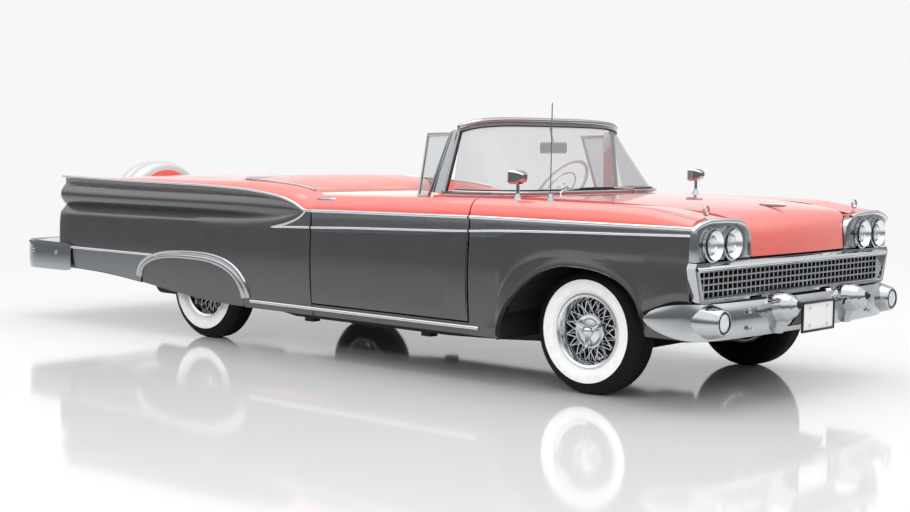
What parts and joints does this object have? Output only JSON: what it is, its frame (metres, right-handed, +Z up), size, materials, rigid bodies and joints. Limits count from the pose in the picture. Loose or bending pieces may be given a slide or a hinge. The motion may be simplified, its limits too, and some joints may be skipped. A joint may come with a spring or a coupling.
{
  "type": "convertible car",
  "caption": "Late-1950s style two-tone open touring car with fins, wire wheels and an outside spare; doors, hood, deck lid and steering move and the wheels turn.",
  "frame": {"origin": "on the floor under the middle of the overall length and width", "axes": "+X forward, +Y to the car's left, +Z up"},
  "size_m": [5.7337, 1.972, 1.466],
  "materials": {
    "coral_paint": "gloss",
    "grey_paint": "gloss",
    "chrome": "polished",
    "satin_aluminium": "satin",
    "clear_glass": "clear",
    "red_lens": "gloss",
    "plate_white": "satin",
    "seat_vinyl": "satin",
    "boot_vinyl": "matte",
    "dash_paint": "gloss",
    "ivory_plastic": "gloss",
    "black_steel": "satin",
    "cast_iron": "as cast",
    "tyre_rubber": "matte"
  },
  "bodies": {
    "body": {"chassis_frame": "black_steel", "control_arms": "black_steel", "engine": "cast_iron", "rear_axle": "black_steel", "exhaust": "cast_iron", "fuel_tank": "black_steel", "tie_down_eyes": "black_steel", "floor_pan": "black_steel", "rockers": "grey_paint", "firewall": "grey_paint", "cowl_top": "coral_paint", "front_fender_left": "coral_paint", "front_fender_right": "coral_paint", "quarter_left": "coral_paint", "quarter_right": "coral_paint", "rear_deck": "coral_paint", "tail_panel": "grey_paint", "fender_skirts": "grey_paint", "grille_surround": "chrome", "grille": "satin_aluminium", "lamp_bezels": "chrome", "headlamps": "clear_glass", "front_bumper": "chrome", "bumper_guards": "chrome", "parking_lamps": "clear_glass", "number_plate": "plate_white", "rear_bumper": "chrome", "spare_wheel_cover": "satin_aluminium", "tail_lamps": "red_lens", "windshield_frame": "chrome", "windshield_glass": "clear_glass", "front_seat": "seat_vinyl", "rear_seat": "seat_vinyl", "dashboard": "dash_paint", "steering_column": "ivory_plastic", "boot_cover": "boot_vinyl", "fender_mirrors": "chrome", "antenna": "chrome"},
    "hood": {"hood": "coral_paint"},
    "deck_lid": {"deck_lid": "coral_paint"},
    "steering_wheel": {"steering_wheel": "ivory_plastic"},
    "door_left": {"door_left": "coral_paint", "vent_window_left": "chrome"},
    "knuckle_left": {"knuckle_left": "black_steel"},
    "wheel_front_left": {"wheel_front_left": "chrome", "tyre_front_left": "tyre_rubber"},
    "wheel_rear_left": {"wheel_rear_left": "chrome", "tyre_rear_left": "tyre_rubber"},
    "door_right": {"door_right": "coral_paint", "vent_window_right": "chrome"},
    "knuckle_right": {"knuckle_right": "black_steel"},
    "wheel_front_right": {"wheel_front_right": "chrome", "tyre_front_right": "tyre_rubber"},
    "wheel_rear_right": {"wheel_rear_right": "chrome", "tyre_rear_right": "tyre_rubber"}
  },
  "joints": [
    {"name": "steering", "type": "hinge", "parent": "body", "child": "steering_wheel", "pos_m": [0.83, 0.38, 0.985], "axis": [-0.8192, 0, 0.5736], "range_deg": [-672, 672]},
    {"name": "steer_left", "type": "hinge", "parent": "body", "child": "knuckle_left", "pos_m": [1.932, 0.69, 0.322], "axis": [0, 0, 1], "range_deg": [-28, 28]},
    {"name": "spin_front_left", "type": "hinge", "parent": "knuckle_left", "child": "wheel_front_left", "pos_m": [1.932, 0.75, 0.322], "axis": [0, 1, 0], "continuous": true},
    {"name": "spin_rear_left", "type": "hinge", "parent": "body", "child": "wheel_rear_left", "pos_m": [-1.065, 0.717, 0.322], "axis": [0, 1, 0], "continuous": true},
    {"name": "door_left_hinge", "type": "hinge", "parent": "body", "child": "door_left", "pos_m": [1.192, 0.944, 0.46], "axis": [0, 0, -1], "range_deg": [0, 66]},
    {"name": "steer_right", "type": "hinge", "parent": "body", "child": "knuckle_right", "pos_m": [1.932, -0.69, 0.322], "axis": [0, 0, 1], "range_deg": [-28, 28]},
    {"name": "spin_front_right", "type": "hinge", "parent": "knuckle_right", "child": "wheel_front_right", "pos_m": [1.932, -0.75, 0.322], "axis": [0, 1, 0], "continuous": true},
    {"name": "spin_rear_right", "type": "hinge", "parent": "body", "child": "wheel_rear_right", "pos_m": [-1.065, -0.717, 0.322], "axis": [0, 1, 0], "continuous": true},
    {"name": "door_right_hinge", "type": "hinge", "parent": "body", "child": "door_right", "pos_m": [1.192, -0.944, 0.46], "axis": [0, 0, 1], "range_deg": [0, 66]},
    {"name": "hood_hinge", "type": "hinge", "parent": "body", "child": "hood", "pos_m": [1.555, 0, 0.95], "axis": [0, -1, 0], "range_deg": [0, 50]},
    {"name": "deck_hinge", "type": "hinge", "parent": "body", "child": "deck_lid", "pos_m": [-1.195, 0, 0.978], "axis": [0, 1, 0], "range_deg": [0, 52]}
  ],
  "couplings": [
    {"joint": "steer_left", "follows": "steering", "ratio": 0.041667},
    {"joint": "steer_right", "follows": "steering", "ratio": 0.041667}
  ]
}
